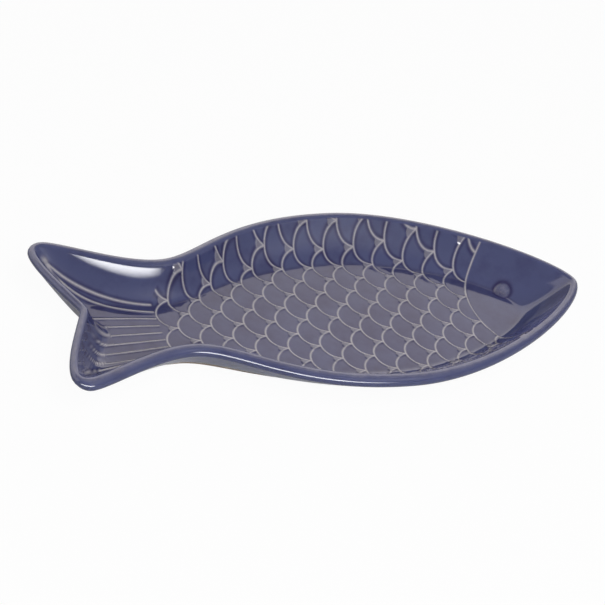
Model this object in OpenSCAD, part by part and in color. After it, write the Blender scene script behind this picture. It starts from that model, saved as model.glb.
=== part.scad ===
// Fish shaped serving platter in glazed stoneware.
// Nose towards +X, foot on Z = 0, middle of the length and width at the origin.

/* [Plan] */
// Overall length, nose to tail tips
length = 400; // [320:1:480]
// Overall width across the body
body_w = 186; // [165:1:220]
// Nose to the widest place of the body
belly_back = 168; // [150:1:190]
// Width at the waist, ahead of the tail
waist_w = 98; // [84:1:120]
// Tail end to the waist
waist_fore = 88; // [70:1:95]
// Span across the two tail lobes
tail_w = 148; // [125:1:170]
// Tail end to the widest place of a lobe
lobe_fore = 11.5; // [9:0.5:15]
// Side of a lobe to the place where it reaches furthest back
lobe_drop = 12; // [10:0.5:18]
// Depth of the notch between the lobes
notch_depth = 21; // [8:0.5:26]

/* [Curves] */
// Roundness of the nose at the rim
nose_full = 0.24; // [0.15:0.01:0.4]
// Roundness of the nose at the floor
floor_nose_full = 0.4; // [0.2:0.01:0.6]
// Fullness of the head
head_full = 0.46; // [0.3:0.01:0.6]
// Fullness of the back behind the widest place
back_full = 0.6; // [0.4:0.01:0.7]
// Length of the straight run into the waist
waist_full = 0.21; // [0.1:0.01:0.4]
// Length of the straight run out of the waist
flare_full = 0.36; // [0.2:0.01:0.5]
// Fullness of the side of a lobe
lobe_full = 0.17; // [0.1:0.01:0.4]
// Straightness of the tail end
trail_full = 0.3; // [0.2:0.01:0.5]
// Roundness of the notch at the rim
notch_full = 0.07; // [0.05:0.01:0.3]
// Roundness of the notch at the floor
floor_notch_full = 0.35; // [0.25:0.01:0.5]

/* [Section] */
// Height of the rim above the table
height = 32.5; // [26:0.5:44]
// Thickness of the rounded rim along the sides
rim_t = 9; // [7:0.5:11]
// Thickness of the rim at the nose
nose_rim_t = 7; // [5:0.5:11]
// Thickness of the rim at the tail end
tail_rim_t = 6; // [5:0.5:11]
// Top of the floor above the table
floor_top = 8.5; // [7:0.5:11]
// Rise of the wall from the floor, 1 for a straight wall
wall_curve = 1.8; // [1.3:0.05:2.2]
// Rise of the outside from the foot, 1 for a straight outside
outside_curve = 1.25; // [1:0.05:1.5]
// Run of the wall at the nose, rim edge to floor
nose_run = 45; // [34:0.5:50]
// Run of the wall at the widest place
belly_run = 36.5; // [30:0.5:44]
// Run of the wall at the waist
waist_run = 25; // [20:0.5:30]
// Run of the wall at the side of a lobe
lobe_run = 46; // [38:0.5:50]
// Run of the wall at the end of a lobe
tail_run = 36; // [30:0.5:40]
// Run of the wall at the notch
notch_run = 24; // [21:0.5:30]

/* [Foot] */
// Height of the foot ring, and depth of the recess inside it
foot_h = 2.5; // [1.5:0.25:3.5]
// Width of the foot ring
foot_w = 6; // [4:0.25:7]
// Foot ring outside the edge of the floor above it
foot_out = 3; // [1:0.25:4]
// Chamfer on the foot ring
foot_chamfer = 0.8; // [0.4:0.1:1.2]

/* [Glaze] */
// Thickness of the glaze
glaze_t = 0.4; // [0.25:0.05:0.7]

/* [Relief] */
// Width of a scale across the fish
scale_w = 28.1; // [24:0.1:34]
// Length of a scale that shows, along the fish
scale_l = 11.96; // [10:0.02:13]
// Nose to the first scale behind the gill
scale_back = 90.7; // [84:0.1:96]
// Width of a raised line
line_w = 1.5; // [1:0.1:2]
// Height of a raised line
line_h = 0.7; // [0.4:0.05:1.2]
// Half width of the web where two scales meet
web_half = 2; // [1.6:0.1:3]
// Length of that web, at its sides
web_l = 5.2; // [4:0.1:6.5]
// Length of that web, on its middle
web_mid_l = 3.7; // [3:0.1:3.9]
// Nose to the gill line, on the middle of the fish
gill_back = 80; // [74:0.5:83]
// Radius of the gill line
gill_r = 68; // [55:1:90]
// Gap between the ends of the lines and the rounded rim
rim_gap = 2.5; // [1.5:0.25:5]
// Gap between neighbouring raised lines
line_gap = 0.15; // [0.1:0.05:0.4]

/* [Fin rays] */
// Rays in the fan
rays = 9; // [5:1:9]
// Middle of the fan to the left of the middle of the fish
ray_side = -3.5; // [-5:0.5:5]
// Pitch of the rays at the waist
ray_pitch = 7.3; // [5:0.1:7.5]
// Tail end to the start of the rays
ray_fore = 80.5; // [72:0.5:86]
// Pitch of the rays at the tail end
ray_end_pitch = 9.5; // [7:0.5:11]
// Gap between the ends of the two rays that sweep into the left lobe
ray_end_gap = 5; // [4:0.5:9]
// Least gap between the last scales and the rays
ray_gap = 1; // [0.5:0.25:6]

/* [Eye] */
// Diameter of the eye
eye_d = 12; // [8:0.5:15]
// Height of the eye
eye_h = 1.6; // [0.8:0.1:2.5]
// Nose to the middle of the eye
eye_back = 48.5; // [40:0.5:54]
// Eye to the middle of the fish
eye_side = 17; // [8:0.5:22]

/* [Hidden] */

nose_x = length / 2;
tail_x = -length / 2;
belly_x = nose_x - belly_back;
waist_x = tail_x + waist_fore;
gill_x = nose_x - gill_back;

// Points along each stretch of half the outline, nose to notch
head_n = 9;
back_n = 9;
side_n = 7;
tip_n = 4;
end_n = 7;
half_n = head_n + back_n + side_n + tip_n + end_n;
ring_n = 2 * half_n;
// Middle of a lobe's tip, and the waist, among those points
tip_k = half_n - end_n - tip_n / 2;
waist_k = 2 * tip_k - half_n;
// Handle of a curve that stands for a quarter of an ellipse
quarter = 0.55;

wall_n = 5;
outside_n = 3;
// Where the rounded rim starts and ends, in degrees above the level of its middle
roll_in = 135;
roll_out = -45;
roll_step = 45;
// Level at which the rounded rim runs into the wall
roll_z = height - rim_t / 2 * (1 - sin(roll_in));
// Lift of the relief off the face, so that it clears the flats between the face's points
relief_lift = 0.12;

function mix(a, b, t) = a + (b - a) * t;
function eased(t) = t * t * (3 - 2 * t);

// Points of a cubic curve, without its last one
function curve(a, b, c, d, n) = [
    for (i = [0 : n - 1])
        let (t = i / n, s = 1 - t)
        s * s * s * a + 3 * s * s * t * b + 3 * s * t * t * c + t * t * t * d
];

// Half of a fish outline, from the nose round to the notch
function half_fish(nose, belly, waist, lobe, heel, notch, nose_round, notch_round) = concat(
    curve([nose, 0], [nose, nose_round * belly.y],
          belly + [head_full * (nose - belly.x), 0], belly, head_n),
    curve(belly, belly - [back_full * (belly.x - waist.x), 0],
          waist + [waist_full * (belly.x - waist.x), 0], waist, back_n),
    curve(waist, waist - [flare_full * (waist.x - lobe.x), 0],
          lobe + [lobe_full * (waist.x - lobe.x), 0], lobe, side_n),
    curve(lobe, [mix(lobe.x, heel.x, quarter), lobe.y],
          [heel.x, mix(heel.y, lobe.y, quarter)], heel, tip_n),
    curve(heel, heel - [0, trail_full * heel.y],
          [notch, notch_round * heel.y], [notch, 0], end_n),
    [[notch, 0]]
);

// Both halves of an outline as one closed ring
function whole(half) = concat(half, [for (k = [half_n - 1 : -1 : 1]) [half[k].x, -half[k].y]]);

// A ring moved inwards along its normals, by one distance or by one for each point
function inset(ring, d) = [
    for (k = [0 : ring_n - 1])
        let (along = ring[(k + 1) % ring_n] - ring[(k + ring_n - 1) % ring_n])
        ring[k] + (is_list(d) ? d[k] : d) * [-along.y, along.x] / norm(along)
];

function at_height(ring, z) = [for (p = ring) [p.x, p.y, z]];

rim_edge = whole(half_fish(
    nose_x,
    [belly_x, body_w / 2],
    [waist_x, waist_w / 2],
    [tail_x + lobe_fore, tail_w / 2],
    [tail_x, tail_w / 2 - lobe_drop],
    tail_x + notch_depth,
    nose_full,
    notch_full));

floor_edge = whole(half_fish(
    nose_x - nose_run,
    [belly_x, body_w / 2 - belly_run],
    [waist_x, waist_w / 2 - waist_run],
    [tail_x + tail_run + lobe_fore / 2, tail_w / 2 - lobe_run],
    [tail_x + tail_run, tail_w / 2 - lobe_run - lobe_drop / 2],
    tail_x + notch_depth + notch_run,
    floor_nose_full,
    floor_notch_full));

// Half the thickness of the rim at each point of the outline
half_rim = concat(
    [for (i = [0 : head_n - 1]) mix(nose_rim_t, rim_t, eased(i / head_n)) / 2],
    [for (i = [1 : back_n + side_n]) rim_t / 2],
    [for (i = [0 : tip_n - 1]) mix(rim_t, tail_rim_t, eased(i / tip_n)) / 2],
    [for (i = [0 : end_n]) tail_rim_t / 2]
);
rim_r = concat(half_rim, [for (k = [half_n - 1 : -1 : 1]) half_rim[k]]);

// A ring on the rounded rim, at an angle above its middle and a depth below the surface
function roll_ring(angle, depth) =
    let (edge = inset(rim_edge, [for (r = rim_r) r - (r - depth) * cos(angle)]))
    [for (k = [0 : ring_n - 1])
        [edge[k].x, edge[k].y, roll_z - rim_r[k] * sin(roll_in) + (rim_r[k] - depth) * sin(angle)]];

// Rings of the face, from the floor up to the inside of the rim
function wall_rings(depth) =
    let (top = roll_ring(roll_in, depth), low = floor_top - depth)
    [for (i = [wall_n : -1 : 1])
        let (t = i / wall_n, z = mix(low, top[0].z, pow(1 - t, wall_curve)))
        [for (k = [0 : ring_n - 1])
            [mix(top[k].x, floor_edge[k].x, t), mix(top[k].y, floor_edge[k].y, t), z]]];

function roll_rings(depth) = [for (a = [roll_in : -roll_step : roll_out]) roll_ring(a, depth)];

// Rings of the outside, from below the rim down to the foot
function outside_rings(depth) =
    let (top = roll_ring(roll_out, depth), foot = inset(floor_edge, depth - foot_out))
    [for (i = [1 : outside_n])
        let (t = i / outside_n)
        [for (k = [0 : ring_n - 1])
            [mix(top[k].x, foot[k].x, t), mix(top[k].y, foot[k].y, t),
             mix(foot_h, top[k].z, pow(1 - t, outside_curve))]]];

// The skin of the platter at a depth below the glazed surface, floor to foot
function skin(depth) = concat(wall_rings(depth), roll_rings(depth), outside_rings(depth));

function foot_rings() = [
    at_height(inset(floor_edge, glaze_t - foot_out), foot_chamfer),
    at_height(inset(floor_edge, glaze_t - foot_out + foot_chamfer), 0),
    at_height(inset(floor_edge, foot_w - foot_out), 0),
    at_height(inset(floor_edge, foot_w - foot_out + foot_chamfer), foot_h)
];

// Triangles between two rings of points that start at the given places
function band(a, b) = [
    for (k = [0 : ring_n - 1])
        let (m = (k + 1) % ring_n)
        each [[a + k, a + m, b + m], [a + k, b + m, b + k]]
];

function bands(count) = [for (i = [0 : count - 2]) each band(i * ring_n, (i + 1) * ring_n)];

function flipped(faces) = [for (f = faces) [f[2], f[1], f[0]]];

// Place of the mirror image of point k
function other(k) = (ring_n - k) % ring_n;

// Triangles that close a flat ring: across the body, then along each lobe
function lid() = concat(
    [for (k = [0 : waist_k - 1]) each concat(
        [[k, k + 1, other(k + 1)]],
        k == 0 ? [] : [[k, other(k + 1), other(k)]])],
    [[waist_k, half_n, other(waist_k)]],
    [for (i = [0 : tip_k - waist_k - 1])
        let (a = waist_k + i, b = half_n - i)
        each concat(
            [[a, a + 1, b], [other(a + 1), other(a), other(b)]],
            a + 1 == b - 1 ? [] : [[a + 1, b - 1, b], [other(b - 1), other(a + 1), other(b)]])]
);

function shifted(faces, by) = [for (f = faces) f + [by, by, by]];

// Closed solid of a stack of rings, with a flat face at each end
module stack(rings) {
    last = (len(rings) - 1) * ring_n;
    polyhedron(
        points = [for (r = rings) each r],
        faces = concat(flipped(lid()), bands(len(rings)), shifted(lid(), last)));
}

// Rings of the face from the crest of the rim inwards, for setting the relief on the glaze
walls = wall_rings(0);
face = concat(
    [roll_ring(90, 0), roll_ring(roll_in, 0)],
    [for (i = [wall_n - 1 : -1 : 0]) walls[i]]);
face_side = [for (r = face) [for (k = [0 : tip_k]) [r[k].x, r[k].y]]];
face_end = [for (r = face) [for (k = [tip_k : half_n]) [r[k].y, r[k].x]]];

// How far a place lies inside a ring of the face
function inside(j, x, y) = min(
    lookup(x, face_side[j]) - abs(y),
    x - lookup(abs(y), face_end[j]));

// Height of the glazed face at a place
function face_z(x, y, j = 0) =
    j == len(face) - 1 ? floor_top :
    let (deep = inside(j + 1, x, y))
    deep >= 0 ? face_z(x, y, j + 1) :
    let (out = max(inside(j, x, y), 0))
    mix(face[j][0].z, face[j + 1][0].z, out / (out - deep));

function on_face(p, up) = [p.x, p.y, face_z(p.x, p.y) + relief_lift + up];

// True where a line may run: inside the rim, ahead of the flare of the tail, and behind the gill line
function in_field(p) = inside(1, p.x, p.y) > rim_gap && p.x - ray_x > abs(p.y) - scale_w;
function behind_gill(p) = norm(p - [gill_x + gill_r, 0]) > gill_r + line_w + line_gap;

// Points and faces of a raised line along a path, three points at each step
function line_points(path) = [
    for (i = [0 : len(path) - 1])
        let (
            along = path[min(i + 1, len(path) - 1)] - path[max(i - 1, 0)],
            aside = line_w / 2 * [-along.y, along.x] / norm(along))
        each [on_face(path[i] + aside, 0), on_face(path[i] - aside, 0), on_face(path[i], line_h)]
];

function line_faces(count, from) = concat(
    [[from, from + 2, from + 1]],
    [for (i = [0 : count - 2], e = [0 : 2])
        let (a = from + 3 * i + e, b = from + 3 * i + (e + 1) % 3)
        each [[a, b + 3, a + 3], [a, b, b + 3]]],
    [let (end = from + 3 * (count - 1)) [end, end + 1, end + 2]]
);

// Raised lines along several paths of the same number of points
module lines(paths) {
    count = len(paths[0]);
    polyhedron(
        points = [for (p = paths) each line_points(p)],
        faces = [for (i = [0 : len(paths) - 1]) each line_faces(count, 3 * count * i)]);
}

// A scale is an arc through its apex and the two places where it meets its neighbours
scale_r = (scale_l * scale_l + scale_w * scale_w / 4) / (2 * scale_l);
arc_end = asin((scale_w / 2 - web_half) / scale_r);
arc_n = 6;
arc_tests = 24;
// Fewest of those tests for an arc that is worth a line
arc_least = 4;
rows_side = ceil(body_w / scale_w / 2) + 1;
// Columns behind the first one, as many as fit ahead of the fin rays, and columns ahead of it
ray_x = tail_x + ray_fore;
columns = floor((nose_x - scale_back - ray_x - ray_gap - line_w / 2) / scale_l);
ahead = 3;

function arc_point(apex, angle) = apex + scale_r * [1 - cos(angle), sin(angle)];

// Apex of each scale, in columns that step back by one length and shift by half a width
apexes = [
    for (c = [-ahead : columns], row = [-rows_side : rows_side])
        let (half_row = c % 2 == 0 ? 0 : 0.5)
        [nose_x - scale_back - c * scale_l, (row + half_row) * scale_w]
];

// Part of a scale's arc that lies in the field, as two angles
function arc_span(apex) =
    let (
        kept = [for (i = [0 : arc_tests])
            let (a = mix(-arc_end, arc_end, i / arc_tests), p = arc_point(apex, a))
            if (in_field(p) && behind_gill(p)) a])
    len(kept) < arc_least ? [] : [kept[0], kept[len(kept) - 1]];

function scale_paths() = [
    for (apex = apexes)
        let (span = arc_span(apex))
        if (len(span) > 0)
            [for (i = [0 : arc_n]) arc_point(apex, mix(span[0], span[1], i / arc_n))]
];

// Share of a web's plan that is left at its top
web_top_share = 0.6;
// The web fills the corner where two scales of a column meet
function web_plan(corner) =
    let (back = corner.x - web_l)
    [corner - [line_w / 2 + line_gap, 0], [back, corner.y + web_half],
     corner - [web_mid_l, 0], [back, corner.y - web_half]];

function web_corners() = [
    for (apex = apexes)
        let (corner = apex + [scale_l, scale_w / 2], plan = web_plan(corner))
        if (min([for (p = plan) in_field(p) && behind_gill(p) ? 1 : 0]) == 1) corner
];

module webs(corners) {
    polyhedron(
        points = [for (c = corners)
            let (plan = web_plan(c), middle = (plan[0] + plan[2]) / 2)
            each concat(
                [for (p = plan) on_face(p, 0)],
                [for (p = plan) on_face(mix(middle, p, web_top_share), line_h)])],
        faces = [for (i = [0 : len(corners) - 1])
            let (f = 8 * i)
            each concat(
                shifted([[0, 1, 2], [0, 2, 3], [6, 5, 4], [7, 6, 4]], f),
                [for (e = [0 : 3])
                    let (a = f + e, b = f + (e + 1) % 4)
                    each [[a, a + 4, b + 4], [a, b + 4, b]]])]);
}

// The gill line is an arc about a centre on the middle of the fish
gill_n = 20;
gill_tests = 60;
function gill_point(angle) = [gill_x + gill_r * (1 - cos(angle)), gill_r * sin(angle)];
function gill_path() =
    let (
        kept = [for (i = [0 : gill_tests]) let (a = 90 * i / gill_tests) if (in_field(gill_point(a))) a],
        end = kept[len(kept) - 1])
    [for (i = [0 : gill_n]) gill_point(mix(-end, end, i / gill_n))];

// The fin rays run back over the floor and up the wall at the tail end; the two on the left and
// the one on the right sweep out to the tip of a lobe
ray_n = 9;
lobe_end = [tail_x + lobe_fore, tail_w / 2 - lobe_drop - rim_gap];
// Two handles of a ray: share of its length, share of its spread
fan_bend = [[0.5, 0.7], [0.8, 1]];
left_bends = [[[0.36, 0.11], [0.62, 0.43]], [[0.36, 0.1], [0.62, 0.3]]];
right_bend = [[0.45, 0], [0.8, 0.02]];
function bent(start, end, bend) =
    let (handles = [for (b = bend) [mix(start.x, end.x, b.x), mix(start.y, end.y, b.y)]])
    concat(curve(start, handles[0], handles[1], end, ray_n), [end]);
function ray_path(i) =
    let (
        step = i - (rays - 1) / 2,
        start = [ray_x, ray_side + step * ray_pitch],
        end_y = ray_side + step * ray_end_pitch,
        left = rays - 1 - i)
    i == 0 ? bent(start, [lobe_end.x, ray_end_gap - lobe_end.y], right_bend) :
    left < 2 ? bent(start, lobe_end - [0, left * ray_end_gap], left_bends[left]) :
    bent(start, [lookup(abs(end_y), face_end[1]) + rim_gap, end_y], fan_bend);

eye_x = nose_x - eye_back;
eye_n = 20;
// Rings of the eye's dome: share of its radius, share of its height
eye_rings = [[1, 0], [0.92, 0.45], [0.72, 0.8], [0.4, 0.97]];

module stoneware_body()
    color("tan")
    stack(concat(skin(glaze_t), foot_rings()));

module glaze_coat() {
    outer = skin(0);
    inner = skin(glaze_t);
    count = len(outer);
    under = count * ring_n;
    color("slateblue")
    polyhedron(
        points = [for (r = concat(outer, inner)) each r],
        faces = concat(
            flipped(lid()), bands(count),
            shifted(lid(), under), shifted(flipped(bands(count)), under),
            band(under - ring_n, 2 * under - ring_n)));
}

module base_glaze() {
    edge = inset(floor_edge, foot_w - foot_out + 2 * foot_chamfer);
    color("slateblue")
    stack([at_height(edge, foot_h), at_height(edge, foot_h - glaze_t)]);
}

module scale_ridges()
    color("lightsteelblue")
    lines(scale_paths());

module scale_webs()
    color("lightsteelblue")
    webs(web_corners());

module gill_ridge()
    color("lightsteelblue")
    lines([gill_path()]);

module fin_rays()
    color("lightsteelblue")
    lines([for (i = [0 : rays - 1]) ray_path(i)]);

module eye_boss() {
    count = len(eye_rings);
    top = count * eye_n;
    color("slateblue")
    polyhedron(
        points = concat(
            [for (r = eye_rings, a = [0 : eye_n - 1])
                let (p = [eye_x, eye_side] + eye_d / 2 * r[0] * [cos(360 * a / eye_n), sin(360 * a / eye_n)])
                on_face(p, eye_h * r[1])],
            [on_face([eye_x, eye_side], eye_h), on_face([eye_x, eye_side], 0)]),
        faces = concat(
            [for (i = [0 : count - 2], a = [0 : eye_n - 1])
                let (b = (a + 1) % eye_n, k = i * eye_n)
                each [[k + a, k + eye_n + b, k + b], [k + a, k + eye_n + a, k + eye_n + b]]],
            [for (a = [0 : eye_n - 1])
                let (b = (a + 1) % eye_n)
                each [[top - eye_n + a, top, top - eye_n + b], [a, b, top + 1]]]));
}

stoneware_body();
glaze_coat();
base_glaze();
scale_ridges();
scale_webs();
gill_ridge();
fin_rays();
eye_boss();
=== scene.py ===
import math

import bpy
import numpy as np
from mathutils import Matrix, Vector


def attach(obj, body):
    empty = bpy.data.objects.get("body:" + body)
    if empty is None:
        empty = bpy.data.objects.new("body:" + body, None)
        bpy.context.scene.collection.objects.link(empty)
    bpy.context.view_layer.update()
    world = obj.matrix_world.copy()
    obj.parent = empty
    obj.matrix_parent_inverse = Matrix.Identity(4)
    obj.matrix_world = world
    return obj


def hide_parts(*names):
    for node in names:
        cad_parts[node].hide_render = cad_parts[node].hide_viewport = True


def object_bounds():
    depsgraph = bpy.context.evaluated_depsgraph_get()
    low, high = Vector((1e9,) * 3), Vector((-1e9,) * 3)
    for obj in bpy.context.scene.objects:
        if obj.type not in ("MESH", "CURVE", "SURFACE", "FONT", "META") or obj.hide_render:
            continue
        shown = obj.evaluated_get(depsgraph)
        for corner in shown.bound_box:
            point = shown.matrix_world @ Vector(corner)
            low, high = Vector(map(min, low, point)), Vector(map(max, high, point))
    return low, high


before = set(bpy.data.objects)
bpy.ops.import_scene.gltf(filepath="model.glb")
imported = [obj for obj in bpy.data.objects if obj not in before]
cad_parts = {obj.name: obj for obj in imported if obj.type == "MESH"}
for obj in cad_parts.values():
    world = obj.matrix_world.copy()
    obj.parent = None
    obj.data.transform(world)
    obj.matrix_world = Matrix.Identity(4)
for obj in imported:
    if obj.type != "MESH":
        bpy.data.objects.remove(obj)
cadBox = [[float(v) for v in corner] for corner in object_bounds()]
print("frame loaded:", sorted(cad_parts))

mm = 0.001
noseX = cadBox[1][0] / mm
tailX = cadBox[0][0] / mm
bodyHalf = cadBox[1][1] / mm
rimTop = cadBox[1][2] / mm

# plan of the fish, in mm: key places of the rim's outline and of the floor's edge
plan = {
    "bellyBack": 168, "waistFore": 88, "waistHalf": 49, "tailHalf": 74,
    "lobeFore": 11.5, "lobeDrop": 12, "notchDepth": 21,
    "noseFull": 0.24, "floorNoseFull": 0.4, "headFull": 0.46, "backFull": 0.6, "waistFull": 0.21,
    "flareFull": 0.36, "lobeFull": 0.17, "trailFull": 0.3, "notchFull": 0.07, "floorNotchFull": 0.35,
    "noseRun": 45, "bellyRun": 36.5, "waistRun": 25, "lobeRun": 46, "tailRun": 36, "notchRun": 24,
}

# section through the wall, in mm, and the spacing of the mesh
dish = {
    "rimRadius": 4.5, "noseRim": 3.5, "tailRim": 3, "rollEnd": 135,
    "floorTop": 8.5, "wallCurve": 1.8, "outsideCurve": 1.25, "footTop": 2.5, "footOut": 3,
    "rimSpacing": 0.75, "floorSpacing": 0.55, "wallRows": 54, "floorRows": 100,
    "innerRollRows": 8, "outerRollRows": 16, "outsideRows": 22,
    "waver": 0.05, "waverLength": 55, "rimPale": 82, "rimPaleSpread": 20,
}

# raised pattern on the face, in mm
relief = {
    "scaleWidth": 28.1, "scaleLength": 11.96, "scaleBack": 90.7, "columnsAhead": 3, "lastColumn": 19,
    "lineHalf": 0.54, "lineHeight": 0.34, "swell": 0.1, "swellReach": 5,
    "webLength": 7.4, "webHeight": 0.62, "webFlank": 1.3, "webBow": 1.5,
    "gillBack": 80, "gillRadius": 68,
    "rays": 9, "raySide": -3.5, "rayPitch": 7.3, "rayFore": 80.5, "rayEndPitch": 9.5, "rayEndGap": 2,
    "fanBend": ((0.5, 0.7), (0.8, 1)), "rightBend": ((0.45, 0), (0.8, 0.02)), "rightGap": 4,
    "leftBends": (((0.36, 0.11), (0.62, 0.43)), ((0.36, 0.1), (0.62, 0.3))),
    "rayHalf": 0.8, "rayHeight": 0.55, "rayTip": 2.2, "rimGap": 2.5,
    "eyeBack": 48.5, "eyeSide": 17, "eyeRadius": 6, "eyeHeight": 1.3,
    "faceTop": -0.4, "fieldFade": (-0.35, -0.05),
}

# how much deeper the glaze lies beside each form and on the floor; the same darkening is also painted shade
# beside the raised forms
poolsAndShade = {"line": 0.62, "corner": 0.9, "floor": 0.5, "ray": 0.6, "eye": 0.8}


def smoothStep(low, high, v):
    t = np.clip((v - low) / (high - low), 0, 1)
    return t * t * (3 - 2 * t)


def bell(v, width):
    return np.exp(-(v / width) ** 2)


def cubicPath(a, b, c, d, count):
    t = np.linspace(0, 1, count, endpoint=False)[:, None]
    s = 1 - t
    a, b, c, d = (np.array(p, float) for p in (a, b, c, d))
    return s ** 3 * a + 3 * s * s * t * b + 3 * s * t * t * c + t ** 3 * d


# half of a fish outline, nose to notch, with the same number of points on every stretch
def halfFish(nose, belly, waist, lobe, heel, notch, noseRound, notchRound, count=400):
    bx, wx, lx = belly[0], waist[0], lobe[0]
    quarter = 0.55
    return np.vstack([
        cubicPath((nose, 0), (nose, noseRound * belly[1]),
                  (bx + plan["headFull"] * (nose - bx), belly[1]), belly, count),
        cubicPath(belly, (bx - plan["backFull"] * (bx - wx), belly[1]),
                  (wx + plan["waistFull"] * (bx - wx), waist[1]), waist, count),
        cubicPath(waist, (wx - plan["flareFull"] * (wx - lx), waist[1]),
                  (lx + plan["lobeFull"] * (wx - lx), lobe[1]), lobe, count),
        cubicPath(lobe, (lx + quarter * (heel[0] - lx), lobe[1]),
                  (heel[0], heel[1] + quarter * (lobe[1] - heel[1])), heel, count),
        cubicPath(heel, (heel[0], heel[1] * (1 - plan["trailFull"])),
                  (notch, notchRound * heel[1]), (notch, 0), count),
        [[notch, 0]],
    ])


bellyX = noseX - plan["bellyBack"]
waistX = tailX + plan["waistFore"]
rimLine = halfFish(
    noseX, (bellyX, bodyHalf), (waistX, plan["waistHalf"]),
    (tailX + plan["lobeFore"], plan["tailHalf"]),
    (tailX, plan["tailHalf"] - plan["lobeDrop"]),
    tailX + plan["notchDepth"], plan["noseFull"], plan["notchFull"])
floorLine = halfFish(
    noseX - plan["noseRun"], (bellyX, bodyHalf - plan["bellyRun"]),
    (waistX, plan["waistHalf"] - plan["waistRun"]),
    (tailX + plan["tailRun"] + plan["lobeFore"] / 2, plan["tailHalf"] - plan["lobeRun"]),
    (tailX + plan["tailRun"], plan["tailHalf"] - plan["lobeRun"] - plan["lobeDrop"] / 2),
    tailX + plan["notchDepth"] + plan["notchRun"], plan["floorNoseFull"], plan["floorNotchFull"])


# unit normals of a half outline, pointing into the dish
def inwardNormals(line):
    before = line[1] * (1, -1)
    after = line[-2] * (1, -1)
    padded = np.vstack([before, line, after])
    along = padded[2:] - padded[:-2]
    along /= np.linalg.norm(along, axis=1)[:, None]
    return np.stack([-along[:, 1], along[:, 0]], 1)


rimNormal = inwardNormals(rimLine)
floorNormal = inwardNormals(floorLine)
lastPoint = len(rimLine) - 1
perStretch = lastPoint // 5


# places along the outline between two of its points, spread by the wider of the two spacings
def spreadPlaces(start, end, count=None):
    step = 1 if end > start else -1
    places = np.arange(start, end + step, step)
    rimStep = np.linalg.norm(np.diff(rimLine[places], axis=0), axis=1) / dish["rimSpacing"]
    floorStep = np.linalg.norm(np.diff(floorLine[places], axis=0), axis=1) / dish["floorSpacing"]
    run = np.concatenate([[0], np.cumsum(np.maximum(rimStep, floorStep))])
    count = count or int(math.ceil(run[-1]))
    return np.interp(np.linspace(0, run[-1], count + 1), run, places)


def along(line, places):
    index = np.arange(len(line))
    return np.stack([np.interp(places, index, line[:, i]) for i in range(line.shape[1])], 1)


# radius of the rounded rim at a place: slimmer at the nose and along the tail end
def rimRadius(places):
    stretch = places / perStretch
    r = dish["noseRim"] + (dish["rimRadius"] - dish["noseRim"]) * smoothStep(0, 1, stretch)
    return r + (dish["tailRim"] - r) * smoothStep(3, 4, stretch)


# point on the rounded rim at an angle above the level of its middle
def rollPoint(places, angle):
    r = rimRadius(places)
    a = np.radians(angle)
    flat = along(rimLine, places) + along(rimNormal, places) * (r - r * np.cos(a))[:, None]
    sinEnd = math.sin(math.radians(dish["rollEnd"]))
    endZ = rimTop - dish["rimRadius"] * (1 - sinEnd)
    return np.column_stack([flat, endZ + r * (np.sin(a) - sinEnd)])


# angle at which the rounded rim runs into a slope towards an edge below, without a crease
def blendAngle(places, edge, edgeZ, power, start):
    angle = np.full(len(places), float(start))
    for _ in range(16):
        top = rollPoint(places, angle)
        run = np.linalg.norm(edge - top[:, :2], axis=1)
        steep = np.degrees(np.arctan(power * (top[:, 2] - edgeZ) / run))
        goal = 90 + steep if start > 0 else steep - 90
        angle = (angle + goal) / 2
    return angle


# one rib per place, from the crest of the rim down to the edge of the floor
def wallRibs(places):
    edge = along(floorLine, places)
    end = blendAngle(places, edge, dish["floorTop"], dish["wallCurve"], 135)
    turns = np.linspace(0, 1, dish["innerRollRows"], endpoint=False)
    rows = [rollPoint(places, 90 + (end - 90) * t) for t in turns]
    top = rollPoint(places, end)
    for t in np.linspace(0, 1, dish["wallRows"] + 1):
        flat = top[:, :2] + (edge - top[:, :2]) * t
        z = dish["floorTop"] + (top[:, 2] - dish["floorTop"]) * (1 - t) ** dish["wallCurve"]
        rows.append(np.column_stack([flat, z]))
    return np.stack(rows, 1)


def floorRibs(start, end):
    t = np.linspace(0, 1, dish["floorRows"] + 1)[1:]
    flat = start[:, None, :2] + (end - start[:, :2])[:, None, :] * t[None, :, None]
    z = np.full(flat.shape[:2] + (1,), dish["floorTop"])
    return np.concatenate([flat, z], 2)


# quads of a grid of points, first axis along the outline and second across it
def gridFaces(shape, first, lookUp):
    index = np.arange(shape[0] * shape[1]).reshape(shape[:2]) + first
    quads = np.stack([index[:-1, :-1], index[:-1, 1:], index[1:, 1:], index[1:, :-1]], -1).reshape(-1, 4)
    return quads[:, ::-1] if lookUp else quads


# where the outline's points lie: nose to the split, split to the lobe's tip, notch to the tip
tipPoint = int(3.5 * perStretch)
sideStart = 2 * perStretch
splitPoint = sideStart + int(np.argmin(np.abs(floorLine[sideStart:3 * perStretch, 0] - floorLine[-1, 0])))
bodyPlaces = spreadPlaces(0, splitPoint)
leadPlaces = spreadPlaces(splitPoint, tipPoint)
trailPlaces = spreadPlaces(lastPoint, tipPoint, len(leadPlaces) - 1)


# the face of the upper half, as ribs across the body and ribs across the lobe
def facePatches():
    bodyWall = wallRibs(bodyPlaces)
    edge = bodyWall[:, -1]
    spine = np.column_stack([edge[:, 0], np.zeros(len(edge))])
    spine[-1] = floorLine[-1]
    leadWall = wallRibs(leadPlaces)
    trailWall = wallRibs(trailPlaces)
    across = floorRibs(leadWall[:, -1], trailWall[:, -1, :2])[:, :-1]
    return [np.concatenate([bodyWall, floorRibs(edge, spine)], 1),
            np.concatenate([leadWall, across, trailWall[:, ::-1]], 1)]


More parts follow.
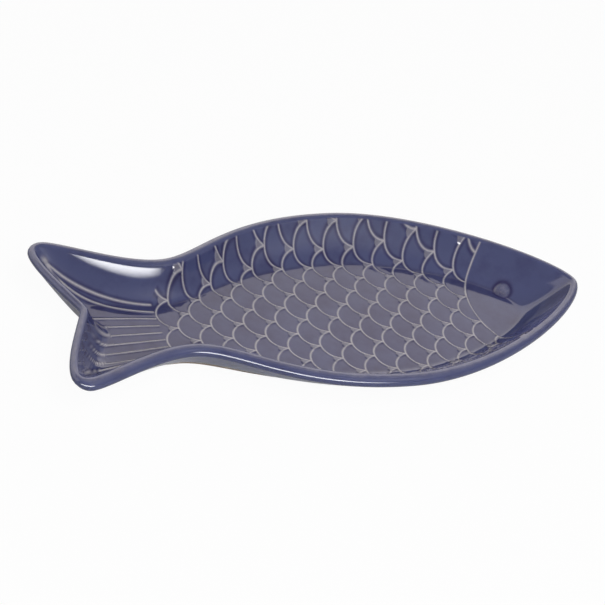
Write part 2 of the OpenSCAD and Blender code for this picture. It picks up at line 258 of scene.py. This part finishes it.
# how far each column of a patch lies down the wall: below 0 on the rim, 1 on the floor
def wallShare(lobe):
    wall = np.concatenate([np.linspace(-1, 0, dish["innerRollRows"], endpoint=False),
                           np.linspace(0, 1, dish["wallRows"] + 1)])
    if lobe:
        return np.concatenate([wall, np.ones(dish["floorRows"] - 1), wall[::-1]])
    return np.concatenate([wall, np.ones(dish["floorRows"])])


# the outside of the upper half, from the crest over the rim and down to the top of the foot
def outsidePatch(places):
    foot = along(floorLine, places) - along(floorNormal, places) * dish["footOut"]
    end = blendAngle(places, foot, dish["footTop"], dish["outsideCurve"], -45)
    turns = np.linspace(0, 1, dish["outerRollRows"], endpoint=False)
    rows = [rollPoint(places, 90 + (end - 90) * t) for t in turns]
    top = rollPoint(places, end)
    for t in np.linspace(0, 1, dish["outsideRows"] + 1):
        flat = top[:, :2] + (foot - top[:, :2]) * t
        z = dish["footTop"] + (top[:, 2] - dish["footTop"]) * (1 - t) ** dish["outsideCurve"]
        rows.append(np.column_stack([flat, z]))
    return np.stack(rows, 1)


# distance to the nearest scale line, the web in each corner, its pale edge, and the darker glaze beside it,
# deeper there and also painted shade
def scalePattern(x, y):
    length, width = relief["scaleLength"], relief["scaleWidth"]
    radius = (length ** 2 + width ** 2 / 4) / (2 * length)
    endAngle = math.asin(width / 2 / radius)
    firstX = noseX - relief["scaleBack"]
    column = np.floor((firstX - x) / length)
    away = np.full(x.shape, 99.0)
    web = np.zeros(x.shape)
    webEdge = np.zeros(x.shape)
    corner = np.zeros(x.shape)
    webRise = np.zeros(x.shape)
    for step in (-1, 0, 1, 2):
        c = column + step
        live = (c >= -relief["columnsAhead"]) & (c <= relief["lastColumn"])
        apexX = firstX - c * length
        shift = (c % 2) * 0.5
        row = np.round(y / width - shift)
        for side in (-1, 0, 1):
            apexY = (row + side + shift) * width
            vx, vy = x - apexX - radius, y - apexY
            onArc = np.abs(np.arctan2(vy, -vx)) <= endAngle
            ends = np.hypot(x - apexX - length, np.abs(vy) - width / 2)
            off = np.where(onArc, np.abs(np.hypot(vx, vy) - radius), ends)
            away = np.where(live, np.minimum(away, off), away)
        # the corner where this column's scales meet, just ahead of the point
        cornerY = (np.floor(y / width - shift) + 0.5 + shift) * width
        ahead = apexX + length - x
        aside = np.abs(y - cornerY)
        rise = np.clip(1 - (length - np.clip(ahead, 0, length)) / radius, -1, 1)
        halfGap = width / 2 - radius * np.sqrt(1 - rise ** 2)
        bow = np.clip(aside / np.maximum(halfGap, 0.2), 0, 1) ** 2
        back = relief["webLength"] - relief["webBow"] * bow
        reach = live & (ahead > -0.3) & (ahead < relief["webLength"] + 1)
        within = reach & (aside < halfGap + 0.4)
        pad = smoothStep(-0.4, 0.4, back - ahead) * smoothStep(0.2, 1.2, ahead)
        web = np.where(within, np.maximum(web, pad), web)
        flank = smoothStep(relief["webFlank"], 0.1, aside - halfGap)
        webRise = np.where(reach, np.maximum(webRise, pad * flank), webRise)
        # painted highlight: a pale stroke along the back edge of each web, drawn with the thin-glaze colour
        # as the glaze also thins there
        webEdge = np.where(within, np.maximum(webEdge, bell(back - ahead - 0.4, 0.45)), webEdge)
        # painted shade beside the sides of each web, as well as deeper glaze there
        beside = bell(aside - halfGap - 1.5, 0.8) * smoothStep(-1.5, 0, ahead) * smoothStep(6, 2, ahead)
        corner = np.where(live, np.maximum(corner, beside), corner)
    return away, web, webEdge, corner, webRise


# inside of the rim along the tail end, and the place in a lobe's tip where rays meet
trailTop = along(rimLine, trailPlaces) + along(rimNormal, trailPlaces) * (2 * rimRadius(trailPlaces))[:, None]
lobeTip = np.array([tailX + plan["lobeFore"], plan["tailHalf"] - plan["lobeDrop"] - relief["rimGap"]])


# a fin ray as a curve from the waist to the tail end, or out to the tip of a lobe
def rayCurve(i):
    step = i - (relief["rays"] - 1) / 2
    start = np.array([tailX + relief["rayFore"], relief["raySide"] + step * relief["rayPitch"]])
    left = relief["rays"] - 1 - i
    if i == 0:
        end, bend = (0, relief["rightGap"]) + lobeTip * (1, -1), relief["rightBend"]
    elif left < 2:
        end, bend = lobeTip - (0, left * relief["rayEndGap"]), relief["leftBends"][left]
    else:
        endY = relief["raySide"] + step * relief["rayEndPitch"]
        end = np.array([np.interp(abs(endY), trailTop[:, 1], trailTop[:, 0]) + relief["rimGap"], endY])
        bend = relief["fanBend"]
    handles = [start + (end - start) * share for share in bend]
    return cubicPath(start, *handles, end, 160)


# distance to the nearest of the given fin rays
def rayAway(x, y, rays):
    away = np.full(x.shape, 99.0)
    near = x < tailX + relief["rayFore"] + 4
    px, py = x[near], y[near]
    best = np.full(px.shape, 99.0)
    for i in rays:
        for q in rayCurve(i):
            best = np.minimum(best, (px - q[0]) ** 2 + (py - q[1]) ** 2)
    away[near] = np.sqrt(best)
    return away


# height of the relief and how thin or deep the glaze lies on it; the darker glaze beside the raised forms is
# also painted shade
def reliefFields(x, y, share):
    gillX = noseX - relief["gillBack"]
    fromGill = np.hypot(x - gillX - relief["gillRadius"], y) - relief["gillRadius"]
    field = smoothStep(*relief["fieldFade"], share)
    fromRays = x - tailX - relief["rayFore"] - np.maximum(np.abs(y) - relief["scaleWidth"], 0)
    behind = smoothStep(-0.3, 0.3, fromGill) * smoothStep(-1.2, 0.2, fromRays)
    scaleAway, web, webEdge, corner, webRise = scalePattern(x, y)
    half = relief["lineHalf"]
    scaleLine = bell(scaleAway, half) * behind * field
    gillLine = bell(fromGill, half) * field * (x > bellyX)
    fanAway = rayAway(x, y, range(1, relief["rays"] - 2))
    sweepAway = rayAway(x, y, (0, relief["rays"] - 2, relief["rays"] - 1))
    away = np.minimum(fanAway, sweepAway)
    rayLine = np.maximum(bell(fanAway, relief["rayHalf"]) * smoothStep(0.2, 0.75, share),
                         bell(sweepAway, relief["rayHalf"]) * smoothStep(-0.05, 0.1, share))
    tip = bell(np.hypot(x - lobeTip[0], y - lobeTip[1]), relief["rayTip"])
    web = web * behind * field
    webEdge = webEdge * behind * field
    eyeAway = np.hypot(x - noseX + relief["eyeBack"], y - relief["eyeSide"]) / relief["eyeRadius"]
    eye = np.clip(1 - eyeAway ** 4, 0, 1) ** 0.7
    line = np.maximum(np.maximum(scaleLine, gillLine), np.maximum(rayLine, tip))
    # the web's pale back edge is thin glaze and a painted highlight
    line = np.maximum(line, 0.5 * webEdge)
    height = np.maximum(relief["lineHeight"] * np.maximum(scaleLine, gillLine),
                        relief["rayHeight"] * np.maximum(rayLine, tip))
    height = np.maximum(height, relief["webHeight"] * webRise * behind * field)
    height += relief["swell"] * smoothStep(0, relief["swellReach"], scaleAway) * behind * field
    height += relief["eyeHeight"] * eye
    # painted shade: darker bands beside the scale lines, webs, fin rays and the eye, as well as deeper glaze
    # there; the floor is darker from deeper glaze
    beside = bell(scaleAway - 1.6, 1.1) * behind * field
    poolAndShade = np.maximum(beside * poolsAndShade["line"], corner * behind * field * poolsAndShade["corner"])
    poolAndShade = np.maximum(poolAndShade, poolsAndShade["floor"] * smoothStep(0.8, 1, share))
    poolAndShade = np.maximum(poolAndShade, bell(away - 1.7, 1.1) * poolsAndShade["ray"])
    poolAndShade = np.maximum(poolAndShade, bell(np.clip(eyeAway - 1.12, -1, 9), 0.24) * poolsAndShade["eye"])
    return {"height": height, "line": line, "web": web, "eye": eye, "poolAndShade": poolAndShade * (1 - line)}


# points of equal place become one, and quads that collapse become triangles or go
def welded(points, faces):
    _, first, index = np.unique(np.round(points, 4), axis=0, return_index=True, return_inverse=True)
    index = index.reshape(-1)
    quads = index[faces]
    same = quads == np.roll(quads, -1, 1)
    whole = quads[~same.any(1)]
    once = quads[same.sum(1) == 1]
    drop = same[same.sum(1) == 1].argmax(1)
    keep = np.array([[c for c in range(4) if c != d] for d in range(4)])[drop]
    tris = np.take_along_axis(once, keep, 1)
    return first, whole, tris


# unit normals at the points of a mesh of quads and triangles
def pointNormals(points, quads, tris):
    normals = np.zeros(points.shape)
    for faces in (quads, tris):
        p = points[faces]
        facing = np.cross(p[:, 2] - p[:, 0], p[:, -1] - p[:, 1])
        for corner in faces.T:
            for axis in range(3):
                normals[:, axis] += np.bincount(corner, facing[:, axis], len(points))
    return normals / np.maximum(np.linalg.norm(normals, axis=1), 1e-9)[:, None]


def newPiece(name, points, faces, smooth=True):
    mesh = bpy.data.meshes.new(name)
    mesh.from_pydata((np.asarray(points) * mm).tolist(), [], faces)
    mesh.validate()
    mesh.polygons.foreach_set("use_smooth", [smooth] * len(mesh.polygons))
    piece = bpy.data.objects.new(name, mesh)
    bpy.context.scene.collection.objects.link(piece)
    return piece


def setField(piece, name, values):
    layer = piece.data.attributes.new(name, "FLOAT", "POINT")
    layer.data.foreach_set("value", np.asarray(values, np.float32))


# a map for baking: the top of the platter in one half of the square, the underside in the other
def flatMap(piece):
    mesh = piece.data
    loops = np.empty(len(mesh.loops), np.int32)
    mesh.loops.foreach_get("vertex_index", loops)
    co = np.empty(len(mesh.vertices) * 3)
    mesh.vertices.foreach_get("co", co)
    co = co.reshape(-1, 3)[loops]
    normal = np.empty(len(mesh.polygons) * 3)
    mesh.polygons.foreach_get("normal", normal)
    counts = np.empty(len(mesh.polygons), np.int32)
    mesh.polygons.foreach_get("loop_total", counts)
    under = np.repeat(normal.reshape(-1, 3)[:, 2] < 0, counts)
    span = (noseX - tailX) * mm * 1.04
    uv = np.column_stack([co[:, 0] / span + 0.5, co[:, 1] / span + np.where(under, 0.75, 0.25)])
    mesh.uv_layers.new(name="OFBake").data.foreach_set("uv", uv.astype(np.float32).ravel())


# the glazed platter: face, rim and outside as one closed skin
def glazedDish():
    points, faces, share, angle = [], [], [], []
    count = 0

    def addPatch(grid, lookUp, shares, angles):
        nonlocal count
        for mirror in (1, -1):
            points.append((grid * (1, mirror, 1)).reshape(-1, 3))
            faces.append(gridFaces(grid.shape, count, lookUp == (mirror == 1)))
            share.append(np.broadcast_to(shares, grid.shape[:2]).ravel())
            angle.append(np.broadcast_to(angles, grid.shape[:2]).ravel())
            count += grid.shape[0] * grid.shape[1]

    for lobe, grid in enumerate(facePatches()):
        shares = wallShare(lobe)
        addPatch(grid, True, shares, np.where(shares < 0, 90 + 45 * (1 + shares), 135 + 45 * shares))
    outer = np.concatenate([bodyPlaces, leadPlaces[1:], trailPlaces[::-1][1:]])
    grid = outsidePatch(outer)
    angles = np.concatenate([np.linspace(90, -45, dish["outerRollRows"], endpoint=False),
                             np.linspace(-45, -90, dish["outsideRows"] + 1)])
    addPatch(grid, False, -2.0, angles)
    # flat underside between the foot's edges
    ring = grid[:, -1]
    split, tip = len(bodyPlaces) - 1, len(bodyPlaces) + len(leadPlaces) - 2
    last = len(ring) - 1
    firstRing = count
    points += [ring, ring * (1, -1, 1)]
    share += [np.full(len(ring), -2.0)] * 2
    angle += [np.full(len(ring), -90.0)] * 2
    k = np.arange(split) + firstRing
    far = len(ring)
    faces.append(np.column_stack([k, k + far, k + far + 1, k + 1])[:, ::-1])
    s = split + firstRing
    faces.append(np.array([[s, s, s + far, last + firstRing]]))
    i = np.arange(tip - split)
    lead, trail = s + i, last + firstRing - i
    faces.append(np.column_stack([lead, trail, trail - 1, lead + 1])[:, ::-1])
    faces.append(np.column_stack([lead, trail, trail - 1, lead + 1]) + far)
    points, faces = np.vstack(points), np.vstack(faces)
    share, angle = np.concatenate(share), np.concatenate(angle)
    first, quads, tris = welded(points, faces)
    points, share, angle = points[first], share[first], angle[first]
    x, y = points[:, 0], points[:, 1]
    fields = reliefFields(x, y, share)
    onFace = share > relief["faceTop"]
    turn = 2 * math.pi / dish["waverLength"]
    waver = np.sin(x * turn + 1.3 * np.sin(y * turn * 0.7)) * np.cos(y * turn * 1.2 + 0.8)
    lift = np.where(onFace, fields["height"], 0)
    lift += np.where(share > 0, waver * dish["waver"] * smoothStep(0, 0.5, share), 0)
    points += pointNormals(points, quads, tris) * lift[:, None]
    piece = newPiece("glazedDish", points, quads.tolist() + tris.tolist())
    for name in ("line", "web", "eye", "poolAndShade"):
        setField(piece, name, np.where(onFace, fields[name], 0))
    setField(piece, "rimEdge", bell(angle - dish["rimPale"], dish["rimPaleSpread"]))
    flatMap(piece)
    print("glazed dish:", len(piece.data.vertices), "points", len(piece.data.polygons), "faces")
    return piece


dishPiece = glazedDish()

# bare foot ring and the glazed recess inside it, in mm
foot = {"width": 6, "chamfer": 0.8, "glaze": 0.4, "seat": 0.3, "spacing": 3}


# closed outline with a constant inset from the edge of the floor
def floorRing(inset, places):
    half = along(floorLine, places) + along(floorNormal, places) * inset
    return np.vstack([half, half[-2:0:-1] * (1, -1)])


# one level ring for each inset and height of a profile
def levelRings(profile, places):
    count = 2 * len(places) - 2
    return [np.column_stack([floorRing(inset, places), np.full(count, z)]) for inset, z in profile]


def clayFoot():
    places = np.concatenate([bodyPlaces, leadPlaces[1:], trailPlaces[::-1][1:]])
    places = np.append(places[:-1:foot["spacing"]], places[-1])
    outer, inner = foot["glaze"] - dish["footOut"], foot["width"] - dish["footOut"]
    top, c = dish["footTop"] + foot["seat"], foot["chamfer"]
    bend = np.radians(np.linspace(0, 90, 5))
    profile = [(outer, top)]
    profile += [(outer + c - c * math.cos(b), c - c * math.sin(b)) for b in bend]
    profile += [(inner - c + c * math.sin(b), c - c * math.cos(b)) for b in bend]
    profile += [(inner + c, top)]
    rings = levelRings(profile, places)
    count = len(rings[0])
    index = np.arange(len(rings) * count).reshape(len(rings), count)
    wrap = np.vstack([index, index[:1]])
    near, far = wrap, np.roll(wrap, -1, 1)
    faces = np.stack([near[:-1], near[1:], far[1:], far[:-1]], -1).reshape(-1, 4)
    piece = newPiece("clayFoot", np.vstack(rings), faces.tolist())
    print("clay foot:", len(piece.data.polygons), "faces")
    return piece


def recessGlaze():
    places = np.concatenate([bodyPlaces, leadPlaces[1:], trailPlaces[::-1][1:]])
    places = np.append(places[:-1:foot["spacing"]], places[-1])
    inset = foot["width"] - dish["footOut"] + foot["chamfer"]
    top, t = dish["footTop"], foot["glaze"]
    profile = [(inset, top), (inset, top - 0.3 * t), (inset + 0.3 * t, top - 0.8 * t), (inset + t, top - t)]
    rings = levelRings(profile, places)
    count = len(rings[0])
    index = np.arange(len(rings) * count).reshape(len(rings), count)
    near, far = index, np.roll(index, -1, 1)
    faces = np.stack([near[:-1], near[1:], far[1:], far[:-1]], -1).reshape(-1, 4).tolist()
    faces += [index[0].tolist(), index[-1][::-1].tolist()]
    piece = newPiece("recessGlaze", np.vstack(rings), faces)
    print("recess glaze:", len(piece.data.polygons), "faces")
    return piece


footPiece = clayFoot()
recessPiece = recessGlaze()


def addNode(tree, kind, **values):
    node = tree.nodes.new(kind)
    for name, value in values.items():
        if name in node.inputs:
            node.inputs[name].default_value = value
        else:
            setattr(node, name, value)
    return node


def newGroup(name, inputs, outputs):
    tree = bpy.data.node_groups.new(name, "ShaderNodeTree")
    for socket, kind, value in inputs:
        made = tree.interface.new_socket(socket, in_out="INPUT", socket_type="NodeSocket" + kind)
        made.default_value = value
    for socket, kind in outputs:
        tree.interface.new_socket(socket, in_out="OUTPUT", socket_type="NodeSocket" + kind)
    return tree, tree.nodes.new("NodeGroupInput"), tree.nodes.new("NodeGroupOutput")


def noise(tree, scale, detail, roughness=0.5):
    place = addNode(tree, "ShaderNodeTexCoord")
    node = addNode(tree, "ShaderNodeTexNoise", Scale=scale, Detail=detail, Roughness=roughness)
    tree.links.new(place.outputs["Object"], node.inputs["Vector"])
    return node


def mathNode(tree, operation, a, b, clamp=False):
    node = addNode(tree, "ShaderNodeMath", operation=operation, use_clamp=clamp)
    for socket, value in zip(node.inputs, (a, b)):
        if isinstance(value, (int, float)):
            socket.default_value = value
        else:
            tree.links.new(value, socket)
    return node.outputs[0]


def mixColor(tree, factor, a, b):
    node = addNode(tree, "ShaderNodeMix", data_type="RGBA")
    for socket, value in ((node.inputs[0], factor), (node.inputs[6], a), (node.inputs[7], b)):
        if isinstance(value, (int, float, tuple)):
            socket.default_value = value
        else:
            tree.links.new(value, socket)
    return node.outputs[2]


def remap(tree, value, low, high, toLow, toHigh):
    node = addNode(tree, "ShaderNodeMapRange")
    tree.links.new(value, node.inputs["Value"])
    for name, number in (("From Min", low), ("From Max", high), ("To Min", toLow), ("To Max", toHigh)):
        node.inputs[name].default_value = number
    return node.outputs[0]


# cloudy depth of colour: darker where the glaze lies thick and where shade is painted, pale where it runs
# thin over an edge
def glazeDepthGroup():
    tree, given, result = newGroup(
        "glazeDepth",
        [("Body", "Color", (0.05, 0.06, 0.15, 1)), ("Pooled", "Color", (0.02, 0.02, 0.09, 1)),
         ("Thin", "Color", (0.4, 0.37, 0.36, 1)), ("Pool", "Float", 0.0), ("Break", "Float", 0.0)],
        [("Color", "Color")])
    cloud = noise(tree, 45, 4, 0.6)
    grain = noise(tree, 900, 2)
    drift = remap(tree, cloud.outputs["Fac"], 0.3, 0.7, -0.24, 0.28)
    pooledAndShaded = mathNode(tree, "ADD", given.outputs["Pool"], drift, clamp=True)
    base = mixColor(tree, pooledAndShaded, given.outputs["Body"], given.outputs["Pooled"])
    tooth = remap(tree, grain.outputs["Fac"], 0.3, 0.7, 0.86, 1.1)
    broken = mathNode(tree, "MULTIPLY", given.outputs["Break"], tooth, clamp=True)
    color = mixColor(tree, broken, base, given.outputs["Thin"])
    tree.links.new(color, result.inputs["Color"])
    return tree


# unevenness of a fired surface: a soft swell, a fine tooth and a wandering gloss
def firedSurfaceGroup():
    tree, given, result = newGroup(
        "firedSurface",
        [("Gloss Low", "Float", 0.04), ("Gloss High", "Float", 0.1), ("Grain", "Float", 300.0),
         ("Tooth", "Float", 0.2)],
        [("Roughness", "Float"), ("Height", "Float"), ("Speck", "Float")])
    swell = noise(tree, 70, 2)
    tooth = noise(tree, 300, 3)
    speck = noise(tree, 620, 1)
    tree.links.new(given.outputs["Grain"], tooth.inputs["Scale"])
    span = mathNode(tree, "SUBTRACT", given.outputs["Gloss High"], given.outputs["Gloss Low"])
    rough = mathNode(tree, "MULTIPLY", swell.outputs["Fac"], span)
    rough = mathNode(tree, "ADD", rough, given.outputs["Gloss Low"])
    fine = mathNode(tree, "MULTIPLY", tooth.outputs["Fac"], given.outputs["Tooth"])
    height = mathNode(tree, "ADD", swell.outputs["Fac"], fine)
    tree.links.new(rough, result.inputs["Roughness"])
    tree.links.new(height, result.inputs["Height"])
    tree.links.new(remap(tree, speck.outputs["Fac"], 0.66, 0.74, 0, 1), result.inputs["Speck"])
    return tree


glazeDepth = glazeDepthGroup()
firedSurface = firedSurfaceGroup()


def newMaterial(name, **values):
    material = bpy.data.materials.new(name)
    material.use_nodes = True
    shader = material.node_tree.nodes["Principled BSDF"]
    for socket, value in values.items():
        shader.inputs[socket.replace("_", " ")].default_value = value
    return material, material.node_tree, shader


def useGroup(tree, group, **values):
    node = addNode(tree, "ShaderNodeGroup", node_tree=group)
    for socket, value in values.items():
        node.inputs[socket.replace("_", " ")].default_value = value
    return node


def field(tree, name):
    return addNode(tree, "ShaderNodeAttribute", attribute_name=name).outputs["Fac"]


def addSurface(tree, shader, distance, strength, **values):
    surface = useGroup(tree, firedSurface, **values)
    bump = addNode(tree, "ShaderNodeBump", Distance=distance, Strength=strength)
    tree.links.new(surface.outputs["Height"], bump.inputs["Height"])
    tree.links.new(bump.outputs["Normal"], shader.inputs["Normal"])
    tree.links.new(surface.outputs["Roughness"], shader.inputs["Roughness"])
    return surface


# colours of the glaze, and how far it breaks on each raised form; the dark deep-glaze colour also paints
# shade beside the forms
glaze = {
    "body": (0.068, 0.078, 0.178, 1), "pooledAndShaded": (0.020, 0.015, 0.070, 1), "thin": (0.455, 0.43, 0.445, 1),
    "line": 0.95, "web": 0.32, "eye": 0.24, "rim": 0.3,
}


def blueGlaze(name, withRelief):
    material, tree, shader = newMaterial(name, IOR=1.5)
    depth = useGroup(tree, glazeDepth, Body=glaze["body"], Pooled=glaze["pooledAndShaded"], Thin=glaze["thin"])
    if withRelief:
        worn = noise(tree, 120, 3, 0.65)
        wear = remap(tree, worn.outputs["Fac"], 0.3, 0.7, 0.35, 1.0)
        thin = mathNode(tree, "MULTIPLY", field(tree, "line"), glaze["line"])
        mottle = remap(tree, noise(tree, 480, 3, 0.65).outputs["Fac"], 0.35, 0.65, 0.3, 1.0)
        eye = mathNode(tree, "MULTIPLY", field(tree, "eye"), mottle)
        for value, share in ((field(tree, "web"), glaze["web"]), (eye, glaze["eye"])):
            thin = mathNode(tree, "MAXIMUM", thin, mathNode(tree, "MULTIPLY", value, share))
        wear = mathNode(tree, "MULTIPLY", wear, glaze["rim"])
        edge = mathNode(tree, "MULTIPLY", field(tree, "rimEdge"), wear)
        tree.links.new(mathNode(tree, "MAXIMUM", thin, edge), depth.inputs["Break"])
        # this field darkens the colour with deeper glaze and with painted shade beside the raised forms
        tree.links.new(field(tree, "poolAndShade"), depth.inputs["Pool"])
    tree.links.new(depth.outputs["Color"], shader.inputs["Base Color"])
    addSurface(tree, shader, 0.0002, 0.25, Gloss_Low=0.03, Gloss_High=0.09, Grain=400.0, Tooth=0.05)
    return material


clay = {"color": (0.50, 0.40, 0.30, 1), "fired": (0.34, 0.25, 0.18, 1), "iron": (0.10, 0.06, 0.04, 1)}


def bareClay():
    material, tree, shader = newMaterial("bareClay", IOR=1.45)
    surface = addSurface(tree, shader, 0.0004, 0.6, Gloss_Low=0.75, Gloss_High=0.95, Grain=1500.0, Tooth=0.9)
    patch = noise(tree, 60, 4, 0.6)
    tone = mixColor(tree, remap(tree, patch.outputs["Fac"], 0.35, 0.7, 0, 1), clay["color"], clay["fired"])
    tone = mixColor(tree, surface.outputs["Speck"], tone, clay["iron"])
    tree.links.new(tone, shader.inputs["Base Color"])
    return material


def finishPiece(piece, material, slot, *nodes):
    piece.data.materials.append(material)
    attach(piece, "root")
    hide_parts(*nodes)


finishPiece(dishPiece, blueGlaze("blueGlaze", True), "blue_glaze",
            "glaze_coat", "scale_ridges", "scale_webs", "gill_ridge", "fin_rays", "eye_boss")
finishPiece(footPiece, bareClay(), "bare_stoneware", "stoneware_body")
finishPiece(recessPiece, blueGlaze("recessBlue", False), "blue_glaze", "base_glaze")
print("materials set")

# camera at the photograph's angle, for an image of 605 by 605 pixels; metres and degrees
view = {"azimuth": -28.454, "elevation": 37.622, "roll": 14.827, "distance": 1.34802,
        "target": (-0.00793, 0.01849, 0.009), "sensor": 36, "lens": 112.769}


def addCamera():
    a, e, r = (math.radians(view[k]) for k in ("azimuth", "elevation", "roll"))
    back = Vector((math.sin(a) * math.cos(e), -math.cos(a) * math.cos(e), math.sin(e)))
    right = Vector((math.cos(a), math.sin(a), 0))
    up = back.cross(right)
    turned = Matrix((right * math.cos(r) + up * math.sin(r), up * math.cos(r) - right * math.sin(r), back))
    data = bpy.data.cameras.new("camera")
    data.sensor_width = view["sensor"]
    data.lens = view["lens"]
    camera = bpy.data.objects.new("camera", data)
    place = Vector(view["target"]) + back * view["distance"]
    camera.matrix_world = Matrix.Translation(place) @ turned.transposed().to_4x4()
    bpy.context.scene.collection.objects.link(camera)
    bpy.context.scene.camera = camera


addCamera()

# dim room with one bright wall behind the platter, up to the given height, and a white floor;
# spread is the share of the light from the room that reaches matt surfaces
room = {
    "dim": 0.35, "wall": 1.92, "wallTop": 47.5, "edge": 1.5, "spread": 0.1,
    "wallSides": (((-0.616, 0.788, 0), (-0.3, 0.1)), ((-0.087, 0.996, 0), (-0.1, 0.0))),
    "tint": (1, 0.94, 0.925, 1), "floorSize": 8, "floorShade": 0.04, "floorMirrored": 0.12,
    "floorColor": (0.75, 0.75, 0.75, 1),
}

# area lamps: bearing and height in degrees, distance and size in metres, power in watts
lamps = {
    "strip": {"bearing": -112, "height": 5.5, "away": 0.9, "size": (1.6, 0.36), "power": 38, "soft": 0.28},
    "window": {"bearing": -62, "height": 42, "away": 2.0, "size": (2.6, 1.8), "power": 19, "soft": 0.5},
    "fill": {"bearing": -90, "height": 52, "away": 2.0, "size": (1.5, 1.5), "power": 38, "soft": 0},
}


def addWorld():
    world = bpy.data.worlds.new("studio")
    bpy.context.scene.world = world
    world.use_nodes = True
    tree = world.node_tree
    background = tree.nodes["Background"]
    place = addNode(tree, "ShaderNodeTexCoord")
    split = addNode(tree, "ShaderNodeSeparateXYZ")
    tree.links.new(place.outputs["Generated"], split.inputs[0])
    low, high = (math.sin(math.radians(room["wallTop"] + side * room["edge"])) for side in (-1, 1))
    under = remap(tree, split.outputs["Z"], low, high, 1, 0)
    share = under
    for side, edge in room["wallSides"]:
        facing = addNode(tree, "ShaderNodeVectorMath", operation="DOT_PRODUCT")
        tree.links.new(place.outputs["Generated"], facing.inputs[0])
        facing.inputs[1].default_value = side
        share = mathNode(tree, "MULTIPLY", share, remap(tree, facing.outputs["Value"], *edge, 0, 1))
    level = remap(tree, share, 0, 1, room["dim"], room["wall"])
    path = addNode(tree, "ShaderNodeLightPath")
    seen = path.outputs["Is Camera Ray"]
    spread = remap(tree, path.outputs["Is Diffuse Ray"], 0, 1, 1, room["spread"])
    level = mathNode(tree, "MULTIPLY", level, spread)
    strength = addNode(tree, "ShaderNodeMix", data_type="FLOAT")
    tree.links.new(seen, strength.inputs[0])
    tree.links.new(level, strength.inputs[2])
    strength.inputs[3].default_value = 1
    tree.links.new(strength.outputs[0], background.inputs["Strength"])
    tree.links.new(mixColor(tree, seen, room["tint"], (1, 1, 1, 1)), background.inputs["Color"])


# a lamp that only lights, or one that only shows in the glaze as a soft-edged streak
def addLamp(name, values):
    lamp = bpy.data.lights.new(name, "AREA")
    lamp.shape = "RECTANGLE"
    lamp.size, lamp.size_y = values["size"]
    lamp.energy = values["power"]
    holder = bpy.data.objects.new(name, lamp)
    a, e = math.radians(values["bearing"]), math.radians(values["height"])
    side = Vector((math.cos(a) * math.cos(e), math.sin(a) * math.cos(e), math.sin(e)))
    holder.location = side * values["away"]
    holder.rotation_euler = side.to_track_quat("Z", "Y").to_euler()
    mirrored = values["soft"] > 0
    holder.visible_glossy = mirrored
    holder.visible_diffuse = not mirrored
    if mirrored:
        lamp.use_nodes = True
        tree = lamp.node_tree
        place = addNode(tree, "ShaderNodeNewGeometry")
        split = addNode(tree, "ShaderNodeSeparateXYZ")
        tree.links.new(place.outputs["Parametric"], split.inputs[0])
        soft = 1
        for axis in ("X", "Y"):
            fromMiddle = mathNode(tree, "ABSOLUTE", mathNode(tree, "SUBTRACT", split.outputs[axis], 0.5), 0)
            soft = mathNode(tree, "MULTIPLY", remap(tree, fromMiddle, 0.5 - values["soft"], 0.5, 1, 0), soft)
        tree.links.new(soft, tree.nodes["Emission"].inputs["Strength"])
    bpy.context.scene.collection.objects.link(holder)


def addFloor():
    half = room["floorSize"] / 2
    mesh = bpy.data.meshes.new("floor")
    corners = [(-half, -half, 0), (half, -half, 0), (half, half, 0), (-half, half, 0)]
    mesh.from_pydata(corners, [], [(0, 1, 2, 3)])
    floor = bpy.data.objects.new("floor", mesh)
    bpy.context.scene.collection.objects.link(floor)
    material, tree, shader = newMaterial("paleFloor", Roughness=0.9)
    shader.inputs["Base Color"].default_value = room["floorColor"]
    shader.inputs["Specular IOR Level"].default_value = 0
    glow = addNode(tree, "ShaderNodeEmission")
    path = addNode(tree, "ShaderNodeLightPath")
    blend = addNode(tree, "ShaderNodeMixShader")
    mirrored = mathNode(tree, "MULTIPLY", path.outputs["Is Glossy Ray"], room["floorMirrored"])
    seen = mathNode(tree, "MULTIPLY", path.outputs["Is Camera Ray"], 1 - room["floorShade"])
    share = mathNode(tree, "MAXIMUM", seen, mirrored)
    tree.links.new(share, blend.inputs[0])
    tree.links.new(shader.outputs[0], blend.inputs[1])
    tree.links.new(glow.outputs[0], blend.inputs[2])
    tree.links.new(blend.outputs[0], tree.nodes["Material Output"].inputs["Surface"])
    mesh.materials.append(material)


addWorld()
for name, values in lamps.items():
    addLamp(name, values)
addFloor()
bpy.context.scene.view_settings.view_transform = "Standard"
print("camera, room and floor set")
